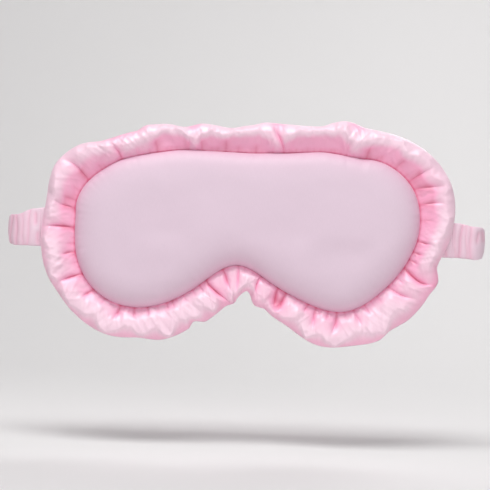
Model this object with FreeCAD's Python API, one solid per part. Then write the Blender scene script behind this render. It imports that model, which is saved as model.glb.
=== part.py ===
import FreeCAD, Part
import os
from math import acos, asin, cos, pi, sin
from FreeCAD import Vector

# A padded satin sleep eye mask with a gathered ruffle all round and a ruched elastic strap.
# Millimetres. The mask stands upright as it is worn: its face looks along -Y, up is +Z, and the
# wearer is at +Y. The origin is the centre of the flat rear face of the back lining.

# Driving dimensions.

# The panel's edge, where the ruffle is sewn on: the top, the right end, the right lobe, the
# arch over the nose, the left lobe, the left end and back to the top.
panel_edge = [
    (0, 45.5), (43.5, 47.5), (77.5, 42.5), (95, 27.5), (100, 10), (96.5, -10),
    (79.5, -32), (57, -45), (32, -39), (13, -28.5), (-4.5, -20), (-26, -32),
    (-43, -42), (-62, -46), (-85, -37.5), (-96.5, -20.5), (-100, 1), (-96, 20.5),
    (-82.5, 34), (-57, 43.5),
]

# The ruffle's free edge, in the same order, with its deeper notch under the nose arch.
ruffle_edge = [
    (0, 61.5), (28, 62.5), (52, 64), (75, 60.5), (98, 51.5), (112, 39), (119.5, 20),
    (118, 1), (112, -18), (103.5, -37), (89.5, -52), (68, -63), (48, -65), (24, -55),
    (10, -45), (0, -36.5), (-11, -44), (-33.5, -58.5), (-60, -64.5), (-88, -58),
    (-106, -42), (-116, -21.5), (-118, -2), (-115.5, 18), (-106, 37.5), (-85, 51),
    (-57, 60), (-29, 61),
]

# Depths, from the wearer's side towards the front.
satin = 0.6             # one satin skin with its fused backing
lining_roll = 3.0       # radius of the lining's rolled edge
seam_back = -4.0        # rear face of the ruffle's seam allowance
seam_front = -4.7       # front face of the ruffle's seam allowance
panel_front = -13.0     # front of the padded panel
panel_roll = 6.5        # radius of the panel's rolled front edge
ruffle_front = -9.5     # front of the ruffle's puffs
ruffle_roll = 2.0       # radius of the ruffle's folded free edge

# Seams and layers, measured inward from the panel's edge.
side_seam_x = 100.0     # half of the panel's width
seam_allowance = 8.0    # width of the ruffle's edge inside the seam
ruffle_gap = 0.4        # opening between the panel's side wall and the ruffle's puffs
core_inset = 8.4        # the wadding's rear core fits inside the seam allowance
wadding_inset = 1.9     # the wadding's front fills the front panel
blackout_inset = 9.0
layer_gap = 0.1         # play between the layers
blackout_thickness = 0.55
thread = 0.45           # sewing thread and gathering thread, drawn a little stout
seam_thread_inset = 1.0
gathering_inset_outer = 3.5
gathering_inset_inner = 6.0

# The strap: a ruched satin casing over flat elastic, caught in the side seams.
strap_height = 21.0
strap_thickness = 2.6
casing_wall = 0.6
elastic_height = 15.0
elastic_thickness = 1.2
strap_z = -2.5          # height of the strap's centre line
strap_front_y = -2.6    # depth of the strap's legs, behind the ruffle
strap_tip_x = 136.0     # where the strap turns back
strap_turn_r = 8.0      # radius of that turn
strap_rear_y = 18.0     # depth of the strap behind the mask's centre
strap_start_x = 92.0    # end of the strap inside the side seam
swing_cut_x = 121.5     # the strap twists here when it swings
stretch_cut_x = 45.0    # the middle of the strap pulls back as one
joint_gap = 0.3         # between strap pieces on two bodies

# Bar tacks that hold the strap's ends, and slip stitches that close the turning gap.
bar_tack_width = 1.8
bar_tack_height = 14.0
bar_tack_x = 92.4
slip_stitch_count = 12
slip_stitch_pitch = 6.0
slip_stitch_length = 3.2
slip_stitch_y = -3.4
slip_stitch_stand_off = 0.35


def closed_curve(points):
    """A smooth closed curve through points given as (x, z)."""
    curve = Part.BSplineCurve()
    curve.interpolate(Points=[Vector(x, 0, z) for x, z in points], PeriodicFlag=True)
    return curve


def point_beside(curve, parameter, outset):
    """The point at a distance outside the curve, which runs clockwise seen from the front."""
    tangent = curve.tangent(parameter)[0]
    outward = Vector(-tangent.z, 0, tangent.x)
    return curve.value(parameter) + outward * outset


def outset_curve(curve, outset, stations=72):
    """The curve moved outward by a distance, or inward by a negative one."""
    step = (curve.LastParameter - curve.FirstParameter) / stations
    points = [point_beside(curve, curve.FirstParameter + i * step, outset) for i in range(stations)]
    moved = Part.BSplineCurve()
    moved.interpolate(Points=points, PeriodicFlag=True)
    return moved


def slab(curve, rear_y, front_y):
    """The area inside the curve, from one depth to another."""
    face = Part.Face(Part.Wire([curve.toShape()]))
    face.translate(Vector(0, front_y, 0))
    return face.extrude(Vector(0, rear_y - front_y, 0))


def rolled(solid, edge_y, radius):
    """The solid with its closed edges at one depth rounded over."""
    edges = [edge for edge in solid.Edges if abs(edge.BoundBox.YMin - edge_y) < 1e-4
             and abs(edge.BoundBox.YMax - edge_y) < 1e-4]
    return solid.makeFillet(radius, edges)


def ring(curve, outer, inner, rear_y, front_y):
    """A flat ring that follows the curve, between two distances from it."""
    return slab(outset_curve(curve, outer), rear_y, front_y).cut(
        slab(outset_curve(curve, inner), rear_y, front_y))


panel = closed_curve(panel_edge)
ruffle_outline = closed_curve(ruffle_edge)


def front_panel():
    """The satin face: a dished skin, open at the back, that the wadding fills."""
    outer = rolled(slab(panel, seam_front, panel_front), panel_front, panel_roll)
    inside_front = panel_front + satin
    inner = slab(outset_curve(panel, -satin), seam_back, inside_front)
    return outer.cut(rolled(inner, inside_front, panel_roll - satin))


def strap_slot(side):
    """The way out through the lining's side wall for the strap's end."""
    depth = strap_thickness + 4 * layer_gap
    height = strap_height + 4 * layer_gap
    slot = Part.makeBox(2 * seam_allowance, depth, height)
    middle = Vector(side * side_seam_x, strap_front_y, strap_z)
    slot.translate(middle - Vector(seam_allowance, depth / 2, height / 2))
    return slot


def back_lining():
    """The lining on the wearer's side: a shallow tray with a flat rear face."""
    outer = rolled(slab(panel, 0, seam_back), 0, lining_roll)
    inner = slab(outset_curve(panel, -satin), -satin, seam_back)
    tray = outer.cut(rolled(inner, -satin, lining_roll - satin))
    return tray.cut(strap_slot(1)).cut(strap_slot(-1))


def blackout_layer():
    """The opaque layer between the wadding and the lining."""
    rear = -satin - layer_gap
    return slab(outset_curve(panel, -blackout_inset), rear, rear - blackout_thickness)


def padding():
    """The wadding: a core inside the seam allowance and a fuller front with a rolled edge."""
    core_rear = -satin - 2 * layer_gap - blackout_thickness
    step_y = seam_front - thread - 2 * layer_gap
    front = panel_front + satin + layer_gap
    core = slab(outset_curve(panel, -core_inset), core_rear, step_y)
    face = slab(outset_curve(panel, -wadding_inset), step_y, front)
    return rolled(face, front, panel_roll - wadding_inset).fuse(core).removeSplitter()


def ruffle():
    """The ruffle as a puffed ring, with the thin seam allowance that is sewn in."""
    outer = slab(ruffle_outline, seam_back, ruffle_front)
    outer = rolled(rolled(outer, ruffle_front, ruffle_roll), seam_back, ruffle_roll)
    puffs = outer.cut(slab(outset_curve(panel, ruffle_gap), seam_back, ruffle_front))
    sewn_edge = ring(panel, 2 * ruffle_gap, -seam_allowance, seam_back, seam_front)
    return puffs.fuse(sewn_edge).removeSplitter()


def thread_loop(inset):
    """One closed row of thread on the ruffle's seam allowance."""
    rear = seam_front - layer_gap / 2
    return ring(panel, -inset, -inset - thread, rear, rear - thread)


def slip_stitches():
    """Small stitches along the top edge that close the gap the mask was turned through."""
    stitches = []
    for i in range(slip_stitch_count):
        x = (i - (slip_stitch_count - 1) / 2) * slip_stitch_pitch
        parameter = panel.parameter(Vector(x, 0, panel_edge[0][1]))
        centre = point_beside(panel, parameter, slip_stitch_stand_off)
        centre.y = slip_stitch_y
        along = panel.tangent(parameter)[0]
        start = centre - along * (slip_stitch_length / 2)
        stitches.append(Part.makeCylinder(thread / 2, slip_stitch_length, start, along))
    return Part.makeCompound(stitches)


def bar_tack():
    """The dense bar of stitches across the strap's right end, between the strap and the lining."""
    front = strap_front_y + strap_thickness / 2 + layer_gap / 2
    bar = Part.makeBox(bar_tack_width, thread, bar_tack_height)
    bar.translate(Vector(bar_tack_x, front, strap_z - bar_tack_height / 2))
    return bar


# The strap's path seen from above, right side: a leg outward behind the ruffle, a turn back,
# then one flat arc behind the mask that joins the two turns tangentially.
turn_x = strap_tip_x - strap_turn_r
turn_y = strap_front_y + strap_turn_r
turn_to_rear = strap_rear_y - turn_y
rear_radius = (turn_x ** 2 + turn_to_rear ** 2 - strap_turn_r ** 2) / (2 * (turn_to_rear - strap_turn_r))
rear_centre = Vector(0, strap_rear_y - rear_radius, 0)
turn_centre = Vector(turn_x, turn_y, 0)
rear_start_angle = pi / 2 - asin(turn_x / (rear_radius - strap_turn_r))


def leg(start_x, end_x):
    """A straight run along +X at the depth of the strap's legs: two points of the centre line."""
    return ("line", Vector(start_x, strap_front_y, 0), Vector(end_x, strap_front_y, 0))


def turn():
    """The turn back at the strap's tip."""
    return ("arc", turn_centre, strap_turn_r, -pi / 2, rear_start_angle)


def rear_arc(start_angle, end_angle):
    """A stretch of the flat arc behind the mask."""
    return ("arc", rear_centre, rear_radius, start_angle, end_angle)


def beside(run, offset):
    """The edge that runs beside one run of the path, on its inner side for a positive offset."""
    if run[0] == "line":
        shift = Vector(0, offset, 0)
        return Part.LineSegment(run[1] + shift, run[2] + shift)
    centre, radius, first, last = run[1:]
    angles = (first, (first + last) / 2, last)
    points = [centre + Vector(cos(a), sin(a), 0) * (radius - offset) for a in angles]
    return Part.Arc(*points)


def ribbon(runs, thickness, height):
    """A flat band along the path, with its height along Z."""
    inner = [beside(run, thickness / 2) for run in runs]
    outer = [beside(run, -thickness / 2) for run in runs]
    caps = [
        Part.LineSegment(outer[0].StartPoint, inner[0].StartPoint),
        Part.LineSegment(outer[-1].EndPoint, inner[-1].EndPoint),
    ]
    edges = Part.sortEdges([curve.toShape() for curve in inner + outer + caps])[0]
    face = Part.Face(Part.Wire(edges))
    face.translate(Vector(0, 0, strap_z - height / 2))
    return face.extrude(Vector(0, 0, height))


def casing(runs):
    """The satin tube around the elastic, open at the ends of the runs."""
    tube = ribbon(runs, strap_thickness, strap_height)
    hollow = ribbon(runs, strap_thickness - 2 * casing_wall, strap_height - 2 * casing_wall)
    return tube.cut(hollow)


def elastic(runs):
    """The flat elastic inside the casing."""
    return ribbon(runs, elastic_thickness, elastic_height)


def on_side(shape, side):
    """The right-hand shape for side 1, or its mirror image for side -1."""
    return shape if side > 0 else shape.mirror(Vector(0, 0, 0), Vector(1, 0, 0))


def rear_angle(x):
    """The angle on the rear arc at a distance to the right of the middle."""
    return acos(x / rear_radius)


end_runs = [leg(strap_start_x, swing_cut_x)]
side_runs = [leg(swing_cut_x + joint_gap, turn_x), turn(),
             rear_arc(rear_start_angle, rear_angle(stretch_cut_x))]
rear_half_angle = rear_angle(stretch_cut_x - joint_gap)
rear_runs = [rear_arc(rear_half_angle, pi - rear_half_angle)]

nodes = {
    "front_panel": front_panel(),
    "padding": padding(),
    "blackout_layer": blackout_layer(),
    "back_lining": back_lining(),
    "ruffle": ruffle(),
    "gathering_thread_outer": thread_loop(gathering_inset_outer),
    "gathering_thread_inner": thread_loop(gathering_inset_inner),
    "perimeter_seam_thread": thread_loop(seam_thread_inset),
    "closing_stitches": slip_stitches(),
    "strap_casing_rear": casing(rear_runs),
    "strap_elastic_rear": elastic(rear_runs),
}
for side_name, side in (("left", -1), ("right", 1)):
    nodes["bar_tack_" + side_name] = on_side(bar_tack(), side)
    nodes["strap_casing_" + side_name + "_end"] = on_side(casing(end_runs), side)
    nodes["strap_casing_" + side_name + "_side"] = on_side(casing(side_runs), side)
    nodes["strap_elastic_" + side_name + "_end"] = on_side(elastic(end_runs), side)
    nodes["strap_elastic_" + side_name + "_side"] = on_side(elastic(side_runs), side)

os.makedirs("parts", exist_ok=True)
for name, shape in nodes.items():
    shape.exportStep("parts/" + name + ".step")
    box = shape.BoundBox
    print(name, "valid", shape.isValid(), "solids", len(shape.Solids), "volume", round(shape.Volume, 1),
          "x", round(box.XMin, 1), round(box.XMax, 1), "y", round(box.YMin, 1), round(box.YMax, 1),
          "z", round(box.ZMin, 1), round(box.ZMax, 1))

leg_length = turn_x - side_seam_x
turn_length = strap_turn_r * (rear_start_angle + pi / 2)
rear_length = 2 * rear_radius * (pi / 2 - rear_start_angle)
print("strap length between the side seams", round(2 * (leg_length + turn_length) + rear_length, 1))
print("panel edge length", round(panel.length(), 1), "ruffle edge length", round(ruffle_outline.length(), 1))
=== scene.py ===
import math

import bpy
import numpy as np
from mathutils import Matrix, Vector, geometry
from mathutils.bvhtree import BVHTree


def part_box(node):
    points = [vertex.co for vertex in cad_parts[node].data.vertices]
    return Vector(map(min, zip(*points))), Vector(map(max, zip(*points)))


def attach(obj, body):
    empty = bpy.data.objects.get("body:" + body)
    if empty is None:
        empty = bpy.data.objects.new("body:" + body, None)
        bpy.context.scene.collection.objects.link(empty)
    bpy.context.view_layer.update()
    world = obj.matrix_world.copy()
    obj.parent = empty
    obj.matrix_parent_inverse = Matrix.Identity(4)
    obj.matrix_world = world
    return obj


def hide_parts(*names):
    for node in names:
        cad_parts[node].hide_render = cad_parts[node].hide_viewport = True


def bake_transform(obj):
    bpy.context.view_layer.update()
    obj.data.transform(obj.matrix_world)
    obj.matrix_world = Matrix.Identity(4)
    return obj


# The looks of a satin sleep eye mask: a smooth padded panel, a gathered ruffle all round it and a
# ruched elastic strap. Metres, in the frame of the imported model: the mask's face looks along -Y.

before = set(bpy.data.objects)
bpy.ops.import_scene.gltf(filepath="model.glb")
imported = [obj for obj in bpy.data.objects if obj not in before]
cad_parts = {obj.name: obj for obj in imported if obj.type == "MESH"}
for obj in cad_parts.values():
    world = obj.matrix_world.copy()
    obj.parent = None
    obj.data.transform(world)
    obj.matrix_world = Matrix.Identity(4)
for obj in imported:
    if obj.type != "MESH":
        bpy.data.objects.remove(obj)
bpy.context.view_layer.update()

MM = 0.001

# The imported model's places.
panel_low, panel_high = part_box("front_panel")
lining_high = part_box("back_lining")[1]
ruffle_low, ruffle_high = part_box("ruffle")
end_low, end_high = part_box("strap_casing_right_end")
side_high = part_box("strap_casing_right_side")[1]
rear_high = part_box("strap_casing_rear")[1]
elastic_low, elastic_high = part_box("strap_elastic_rear")
padding_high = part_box("padding")[1]
blackout_low, blackout_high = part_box("blackout_layer")
seam_y = (ruffle_high.y + panel_high.y) / 2
panel_middle = Vector((0, seam_y, 0.010))     # every ray from here meets the panel's edge once
panel_wide = panel_high.x - panel_low.x
panel_tall = panel_high.z - panel_low.z


# ---------------------------------------------------------------- the mask's outline

stations = 1440     # places on the panel's edge, clockwise from the top as seen from the front


def tree_of(node):
    """A ray-casting tree of a CAD node's mesh."""
    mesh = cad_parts[node].data
    return BVHTree.FromPolygons([v.co for v in mesh.vertices], [p.vertices for p in mesh.polygons])


def smoothed(values, width):
    """Rows of a closed loop, averaged with a bell-shaped window of that many rows."""
    half = int(3 * width)
    offsets = np.arange(-half, half + 1)
    weights = np.exp(-0.5 * (offsets / width) ** 2)
    weights /= weights.sum()
    return sum(w * np.roll(values, o, axis=0) for w, o in zip(weights, offsets))


def resampled(loop, count):
    """The closed loop's points at even distances along it."""
    closed = np.vstack([loop, loop[:1]])
    run = np.concatenate([[0], np.cumsum(np.linalg.norm(np.diff(closed, axis=0), axis=1))])
    at = np.linspace(0, run[-1], count, endpoint=False)
    return np.stack([np.interp(at, run, closed[:, k]) for k in range(closed.shape[1])], axis=1)


def unit(vectors):
    """Each row at length 1."""
    return vectors / np.linalg.norm(vectors, axis=1, keepdims=True)


def panel_edge():
    """The panel's edge as (x, z), evenly spaced, from the mask's front panel."""
    tree = tree_of("front_panel")
    depth = panel_high.y - 0.5 * MM     # just in front of the panel's rear face
    rays = 1200
    clear_of_mask = 0.3
    loop = []
    for angle in np.linspace(0, 2 * math.pi, rays, endpoint=False):
        way = Vector((math.sin(angle), 0, math.cos(angle)))
        start = Vector((panel_middle.x, depth, panel_middle.z)) + way * clear_of_mask
        hit = tree.ray_cast(start, -way)[0]
        loop.append((hit.x, hit.z))
    return resampled(smoothed(resampled(np.array(loop), stations), 4), stations)


def ruffle_edge():
    """Where the ruffle's free edge lies beside each station of the panel's edge, as (x, z)."""
    tree = tree_of("ruffle")
    depth = (ruffle_low.y + ruffle_high.y) / 2
    clear_of_ruffle = 0.05
    loop = []
    for (x, z), (dx, dz) in zip(edge, spread):
        way = Vector((dx, 0, dz))
        start = Vector((x, depth, z)) + way * clear_of_ruffle
        hit = tree.ray_cast(start, -way)[0]
        loop.append((hit.x, hit.z))
    return smoothed(np.array(loop), 6)


edge = panel_edge()
edge_length = float(np.linalg.norm(edge - np.roll(edge, 1, axis=0), axis=1).sum())
tangent = unit(np.roll(edge, -1, axis=0) - np.roll(edge, 1, axis=0))
outward = np.stack([-tangent[:, 1], tangent[:, 0]], axis=1)
spread = unit(smoothed(outward, 24))
free_edge = ruffle_edge()
ruffle_width = np.linalg.norm(free_edge - edge, axis=1)


def around(table, at):
    """A quantity of the closed loop at distances along the panel's edge, in metres."""
    place = (np.asarray(at) / edge_length * stations) % stations
    low = np.floor(place).astype(int) % stations
    part = place - np.floor(place)
    high = (low + 1) % stations
    if table.ndim == 2:
        part = part[..., None]
    return table[low] * (1 - part) + table[high] * part


def ease(t):
    """From 0 to 1 with a level start and end."""
    return t * t * (3 - 2 * t)


def smooth_step(x, low, high):
    return ease(np.clip((x - low) / (high - low), 0, 1))


def between(places, where):
    """Which two of the rising places each value lies between, and how far along from the first."""
    low = np.clip(np.searchsorted(places, where, side="right") - 1, 0, len(places) - 2)
    return low, (where - places[low]) / (places[low + 1] - places[low])


def carried_round(pairs):
    """The places and values of (millimetres along the edge, value) pairs, carried on past both ends."""
    places, values = np.array(pairs, float).T
    turn = edge_length / MM
    places = np.concatenate([places[-3:] - turn, places, places[:3] + turn])
    return places, np.concatenate([values[-3:], values, values[:3]])


def along(pairs, at):
    """A value that eases from each (millimetres along the edge, value) pair to the next, all round."""
    places, values = carried_round(pairs)
    low, t = between(places, (np.asarray(at) / MM) % (edge_length / MM))
    t = ease(t)
    return values[low] * (1 - t) + values[low + 1] * t


def through(pairs, at):
    """A value that passes without bumps through (millimetres along the edge, value) pairs, all round."""
    places, values = carried_round(pairs)
    gaps = np.diff(places)
    slopes = np.diff(values) / gaps
    before, after = slopes[:-1], slopes[1:]
    turns = before * after <= 0
    steep = np.where(turns, 0, 2 * before * after / np.where(turns, 1, before + after))
    steep = np.concatenate([[0], steep, [0]])
    low, t = between(places, (np.asarray(at) / MM) % (edge_length / MM))
    return (values[low] * (2 * t ** 3 - 3 * t ** 2 + 1) + values[low + 1] * (3 * t ** 2 - 2 * t ** 3)
            + gaps[low] * (steep[low] * (t ** 3 - 2 * t ** 2 + t) + steep[low + 1] * (t ** 3 - t ** 2)))


def wander(rng, at, wavelength, turn=None):
    """Smooth random values of size about 1 along a distance, closed if a turn's length is given."""
    total = np.zeros_like(at, dtype=float)
    unevenness = 0.61       # an open wave's bend is longer than the wave, so that it does not repeat
    for octave in range(3):
        length = wavelength / (1.7 ** octave)
        waves = max(1, round(turn / length)) if turn else None
        rate = 2 * math.pi * waves / turn if turn else 2 * math.pi / length
        phase, phase_2 = rng.uniform(0, 2 * math.pi, 2)
        bend = 0.8 * np.sin(at * rate * (1 if turn else unevenness) + phase_2)
        total += np.sin(at * rate + phase + bend) * 0.6 ** octave
    return total / 1.2


# How far the panel's edge is drawn in under the ruffle's folds, in mm.
drawn_in = [
    (0, 1.2), (12, 0.8), (24, 1.2), (40, 1.2), (50, 2.2), (58, 3.2), (65, 3.4), (72, 2.2), (80, 1.4),
    (92, 1.1), (104, 1.0), (120, 1.1), (132, 1.2), (142, 1.5), (152, 1.2), (165, 0.6), (185, 0.4),
    (240, 0.3), (300, 0.3), (350, 0.4), (375, 0.9), (388, 1.8), (398, 2.0), (408, 1.0), (420, 1.0),
    (432, 1.0), (444, 0.6), (456, 1.1), (468, 1.2), (480, 0.8), (498, 1.5), (510, 1.4),
]
station_run = np.arange(stations) * edge_length / stations
seam = edge - outward * (through(drawn_in, station_run) * MM)[:, None]


# ---------------------------------------------------------------- meshes

def new_piece(name, points, faces, uv=None, attributes=None):
    """A smooth mesh object. uv holds one (u, v) per face corner, in millimetres of cloth."""
    mesh = bpy.data.meshes.new(name)
    mesh.from_pydata(points, [], faces)
    mesh.polygons.foreach_set("use_smooth", [True] * len(mesh.polygons))
    if uv is not None:
        layer = mesh.uv_layers.new(name="fabric")
        layer.data.foreach_set("uv", np.asarray(uv, float).ravel())
    for key, values in (attributes or {}).items():
        layer = mesh.attributes.new(key, "FLOAT", "POINT")
        layer.data.foreach_set("value", np.asarray(values, float).ravel())
    mesh.validate()
    mesh.update()
    piece = bpy.data.objects.new(name, mesh)
    bpy.context.scene.collection.objects.link(piece)
    return piece


def at_depth(spot, y):
    """Points from their (x, z) places and their depths."""
    return np.stack([spot[:, 0], y, spot[:, 1]], axis=1)


def flat_uv(points, faces):
    """Corner UVs of a sheet that faces the front: its own x and z, in mm."""
    return [(points[i][0] / MM, points[i][2] / MM) for f in faces for i in f]


def grid_piece(name, points, uv, wrap_u=False, wrap_v=False, attributes=None):
    """A mesh of rows and columns of points, closed along u or v if asked.
    uv has one more row or column than the points where it is closed."""
    nu, nv = points.shape[:2]
    iu = np.arange(nu if wrap_u else nu - 1)
    iv = np.arange(nv if wrap_v else nv - 1)
    a, b = np.meshgrid(iu, iv, indexing="ij")
    a, b = a.ravel(), b.ravel()
    square = ((a, b), (a + 1, b), (a + 1, b + 1), (a, b + 1))
    faces = np.stack([(i % nu) * nv + (j % nv) for i, j in square], axis=1)
    corners = np.stack([uv[i, j] for i, j in square], axis=1)
    return new_piece(name, points.reshape(-1, 3).tolist(), faces.tolist(), corners.reshape(-1, 2), attributes)


# ---------------------------------------------------------------- materials

def node(tree, kind, **values):
    """A shader node with its own settings and its inputs' values given by name."""
    made = tree.nodes.new(kind)
    for key, value in values.items():
        if hasattr(made, key):
            setattr(made, key, value)
        else:
            made.inputs[key.replace("_", " ")].default_value = value
    return made


def ranged(tree, source, low, high, new_low, new_high):
    """A value moved from one range to another, and kept inside it."""
    made = node(tree, "ShaderNodeMapRange")
    for socket, value in (("From Min", low), ("From Max", high), ("To Min", new_low), ("To Max", new_high)):
        made.inputs[socket].default_value = value
    tree.links.new(source, made.inputs["Value"])
    return made.outputs[0]


def fabric(name):
    """A new material on the cloth's own UVs: it, its tree, its shader and the UVs."""
    material = bpy.data.materials.new(name)
    material.use_nodes = True
    tree = material.node_tree
    uv = node(tree, "ShaderNodeUVMap", uv_map="fabric").outputs[0]
    return material, tree, tree.nodes["Principled BSDF"], uv


def set_relief(tree, shader, height, strength, distance):
    """Bumps of a height from the node tree."""
    bumps = node(tree, "ShaderNodeBump", Strength=strength, Distance=distance)
    tree.links.new(height, bumps.inputs["Height"])
    tree.links.new(bumps.outputs[0], shader.inputs["Normal"])


def satin(name, colour, middle, deep_shade_colour, roughness, sheen=0.35, patch=1.0, gloss=0.6, coat=0.0):
    """Woven satin: its colour, turned by a per-point shade attribute towards two painted shade colours (a
    middle one for shaded hollows, a deep one for creases), with fine floats and a soft sheen.
    """
    streak = 0.5
    material, tree, shader, uv = fabric(name)
    link = tree.links.new

    patches = node(tree, "ShaderNodeTexNoise", Scale=0.045, Detail=3.0, Roughness=0.55)
    link(uv, patches.inputs["Vector"])
    floats = node(tree, "ShaderNodeMapping", Scale=(3.2, 0.35, 1.0))
    link(uv, floats.inputs["Vector"])
    streaks = node(tree, "ShaderNodeTexNoise", Scale=1.0, Detail=4.0, Roughness=0.6)
    link(floats.outputs[0], streaks.inputs["Vector"])
    weave_map = node(tree, "ShaderNodeMapping", Rotation=(0, 0, math.radians(27)))
    link(uv, weave_map.inputs["Vector"])
    weave = node(tree, "ShaderNodeTexWave", wave_type="BANDS", bands_direction="X", Scale=1.1, Distortion=1.2,
                 Detail=1.0)
    link(weave_map.outputs[0], weave.inputs["Vector"])

    # Painted shade: a per-point attribute darkens the colour to the middle colour in shaded hollows and to
    # the deep colour in creases.
    painted_shade = node(tree, "ShaderNodeAttribute", attribute_name="painted_shade")
    base = node(tree, "ShaderNodeValToRGB")
    base.color_ramp.elements[0].color = (*colour, 1)
    base.color_ramp.elements[1].color = (*deep_shade_colour, 1)
    base.color_ramp.elements.new(0.5).color = (*middle, 1)
    link(painted_shade.outputs["Fac"], base.inputs[0])
    patch_tone = ranged(tree, patches.outputs["Fac"], 0.3, 0.7, 1 - 0.04 * patch, 1 + 0.03 * patch)
    thread_tone = ranged(tree, streaks.outputs["Fac"], 0.3, 0.7, 1 - 0.04 * streak, 1 + 0.04 * streak)
    product = node(tree, "ShaderNodeMath", operation="MULTIPLY")
    link(patch_tone, product.inputs[0])
    link(thread_tone, product.inputs[1])
    tinted = node(tree, "ShaderNodeVectorMath", operation="SCALE")
    link(base.outputs[0], tinted.inputs[0])
    link(product.outputs[0], tinted.inputs["Scale"])
    link(tinted.outputs[0], shader.inputs["Base Color"])

    rough = ranged(tree, streaks.outputs["Fac"], 0.25, 0.75, roughness - 0.05, roughness + 0.07)
    link(rough, shader.inputs["Roughness"])

    relief = node(tree, "ShaderNodeMath", operation="MULTIPLY_ADD")
    relief.inputs[1].default_value = 0.35
    link(weave.outputs["Fac"], relief.inputs[0])
    link(streaks.outputs["Fac"], relief.inputs[2])
    set_relief(tree, shader, relief.outputs[0], 0.25, 0.05 * MM)

    finish = {
        "Sheen Weight": sheen, "Sheen Roughness": 0.35, "Sheen Tint": (1.0, 0.93, 0.97, 1),
        "Anisotropic": 0.35, "Specular IOR Level": gloss,
        "Coat Weight": coat, "Coat Roughness": 0.5, "Coat IOR": 1.6,
    }
    for socket, value in finish.items():
        shader.inputs[socket].default_value = value
    return material


def matte(name, colour, spots, scale, bump, roughness=0.9):
    """A plain fabric, thread or wadding: two tones mottled at a scale per millimetre, with relief."""
    material, tree, shader, uv = fabric(name)
    link = tree.links.new
    grain = node(tree, "ShaderNodeTexNoise", Scale=scale, Detail=5.0, Roughness=0.6)
    link(uv, grain.inputs["Vector"])
    ribs = node(tree, "ShaderNodeTexWave", wave_type="BANDS", bands_direction="DIAGONAL", Scale=scale,
                Distortion=2.0, Detail=2.0)
    link(uv, ribs.inputs["Vector"])
    tones = node(tree, "ShaderNodeMix", data_type="RGBA")
    tones.inputs[6].default_value = (*colour, 1)
    tones.inputs[7].default_value = (*spots, 1)
    link(grain.outputs["Fac"], tones.inputs[0])
    link(tones.outputs[2], shader.inputs["Base Color"])
    relief = node(tree, "ShaderNodeMath", operation="ADD")
    link(grain.outputs["Fac"], relief.inputs[0])
    link(ribs.outputs["Fac"], relief.inputs[1])
    set_relief(tree, shader, relief.outputs[0], bump, 0.1 * MM)
    shader.inputs["Roughness"].default_value = roughness
    shader.inputs["Sheen Weight"].default_value = 0.2
    return material


# Each satin's second and third colours are painted shade, not dye: the middle one for hollows, the deep one
# for creases.
panel_satin = satin("panel_satin", (0.74, 0.585, 0.685), (0.73, 0.44, 0.57), (0.72, 0.30, 0.44), 0.48,
                    sheen=0.15, patch=0.35, gloss=0.4)
ruffle_satin = satin("ruffle_satin", (0.94, 0.66, 0.78), (0.96, 0.44, 0.63), (0.72, 0.12, 0.24), 0.40,
                     sheen=0.5, gloss=0.8, coat=0.15)
strap_satin = satin("strap_satin", (0.83, 0.63, 0.73), (0.82, 0.50, 0.62), (0.70, 0.32, 0.45), 0.42)
lining_satin = satin("lining_satin", (0.78, 0.54, 0.66), (0.76, 0.42, 0.55), (0.70, 0.30, 0.44), 0.44,
                     patch=0.5)
wadding_cloth = matte("wadding", (0.86, 0.86, 0.83), (0.74, 0.74, 0.71), 0.8, 0.6)
blackout_cloth = matte("blackout_cloth", (0.02, 0.02, 0.022), (0.035, 0.035, 0.038), 3.0, 0.3)
elastic_weave = matte("elastic", (0.80, 0.79, 0.76), (0.66, 0.65, 0.62), 1.4, 0.7)
thread_twist = matte("thread", (0.62, 0.26, 0.40), (0.74, 0.38, 0.52), 4.0, 0.8, roughness=0.6)


def dress(piece, material):
    """Puts a material on a piece."""
    piece.data.materials.append(material)


# ---------------------------------------------------------------- the padded panel

def inside_points(step, inset):
    """Points of a triangular grid inside the panel's edge, at least inset from it."""
    xs = np.arange(seam[:, 0].min(), seam[:, 0].max(), step)
    zs = np.arange(seam[:, 1].min(), seam[:, 1].max(), step * math.sqrt(3) / 2)
    grid = np.array([(x + (step / 2 if j % 2 else 0), z) for j, z in enumerate(zs) for x in xs])
    loop = seam[::4]
    following = np.roll(loop, -1, axis=0)
    crossings = np.zeros(len(grid), int)
    for (ax, az), (bx, bz) in zip(loop, following):
        spans = (az > grid[:, 1]) != (bz > grid[:, 1])
        rise = bz - az if bz != az else 1e-12     # a level side spans nothing, so any number does
        crossings += spans & (grid[:, 0] < (bx - ax) * (grid[:, 1] - az) / rise + ax)
    grid = grid[crossings % 2 == 1]
    return grid[distance_in(grid) > inset]


def distance_in(points):
    """How far each (x, z) point is from the panel's edge."""
    loop = seam[::2]
    return np.array([np.sqrt(((loop - p) ** 2).sum(axis=1).min()) for p in points])


def crown(inset, swell):
    """A pillow's height at a distance in from its edge: steep at the edge and flat from swell on."""
    rounding = 2.4
    fullness = 1.9
    t = np.clip(np.asarray(inset) / swell, 0, 1)
    return (1 - (1 - t) ** rounding) ** (1 / fullness)


def filled_outline(insets, step):
    """A flat fill of the panel's outline, denser near its edge: its points, its triangles, how far in
    each point is, and how many points are on the border."""
    rows = []
    depth = []
    for k, inset in enumerate(insets):
        every = 3 if inset < 6 * MM or k == 0 else 4
        # Each second ring is turned by half a gap, so that the triangles are even.
        ring = (seam - outward * inset)[(k % 2) * (every // 2)::every]
        rows.append(ring)
        depth.append(np.full(len(ring), inset))
    grid = inside_points(step, insets[-1] + step * 0.7)
    rows.append(grid)
    depth.append(distance_in(grid))
    points = np.vstack(rows)
    count = len(rows[0])
    border = [(i, (i + 1) % count) for i in range(count)]
    flat, _, faces, _, _, _ = geometry.delaunay_2d_cdt([Vector(p) for p in points], border, [], 1, 1e-7)
    flat = np.array([list(p) for p in flat])
    return flat, [list(f) for f in faces], np.concatenate(depth), count


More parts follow.
